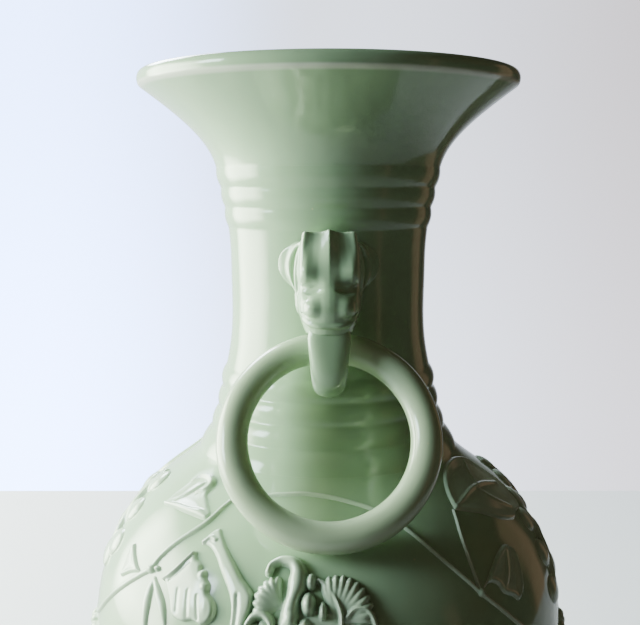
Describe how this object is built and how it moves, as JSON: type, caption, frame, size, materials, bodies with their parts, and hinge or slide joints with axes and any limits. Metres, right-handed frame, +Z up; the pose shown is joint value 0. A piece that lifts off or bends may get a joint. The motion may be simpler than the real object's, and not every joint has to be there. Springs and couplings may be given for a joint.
{
  "type": "vase",
  "caption": "Tall celadon porcelain vase with a trumpet mouth, ribbed neck, mask handles holding loose rings, and raised peony scroll on a round shoulder.",
  "frame": {"origin": "centre of the foot, on the surface the vase stands on", "axes": "+Z up through the mouth; the front mask and ring face -Y, the back ones +Y; +X to the right seen from the front"},
  "size_m": [0.27, 0.2672, 0.46],
  "materials": {
    "celadon_glaze": "deep glossy celadon glaze, paler where it thins on edges",
    "ring_glaze": "glossy celadon glaze on the loose rings",
    "bare_foot": "unglazed porcelain, fired to a warm buff where it stands"
  },
  "bodies": {
    "vase": {"foot_ring": "bare_foot", "base_disc": "celadon_glaze", "lower_body": "celadon_glaze", "upper_body": "celadon_glaze", "neck": "celadon_glaze", "mouth": "celadon_glaze", "front_head": "celadon_glaze", "front_tongue": "celadon_glaze", "front_peony": "celadon_glaze", "front_lobed_leaf": "celadon_glaze", "front_blade_leaf": "celadon_glaze", "front_curl_leaf": "celadon_glaze", "front_small_leaf": "celadon_glaze", "front_bud": "celadon_glaze", "front_left_vine": "celadon_glaze", "front_top_vine": "celadon_glaze", "front_right_vine": "celadon_glaze", "front_pointed_leaf": "celadon_glaze", "front_wide_leaf": "celadon_glaze", "front_left_spray": "celadon_glaze", "front_right_spray": "celadon_glaze", "front_side_peony": "celadon_glaze", "front_low_leaves": "celadon_glaze", "back_head": "celadon_glaze", "back_tongue": "celadon_glaze", "back_peony": "celadon_glaze", "back_lobed_leaf": "celadon_glaze", "back_blade_leaf": "celadon_glaze", "back_curl_leaf": "celadon_glaze", "back_small_leaf": "celadon_glaze", "back_bud": "celadon_glaze", "back_left_vine": "celadon_glaze", "back_top_vine": "celadon_glaze", "back_right_vine": "celadon_glaze", "back_pointed_leaf": "celadon_glaze", "back_wide_leaf": "celadon_glaze", "back_left_spray": "celadon_glaze", "back_right_spray": "celadon_glaze", "back_side_peony": "celadon_glaze", "back_low_leaves": "celadon_glaze"},
    "front_ring": {"front_ring": "ring_glaze"},
    "back_ring": {"back_ring": "ring_glaze"}
  },
  "joints": [
    {"name": "front_ring_swing", "type": "hinge", "parent": "vase", "child": "front_ring", "pos_m": [0, -0.062, 0.322], "axis": [-1, 0, 0], "range_deg": [0, 140]},
    {"name": "back_ring_swing", "type": "hinge", "parent": "vase", "child": "back_ring", "pos_m": [0, 0.062, 0.322], "axis": [1, 0, 0], "range_deg": [0, 140]}
  ]
}
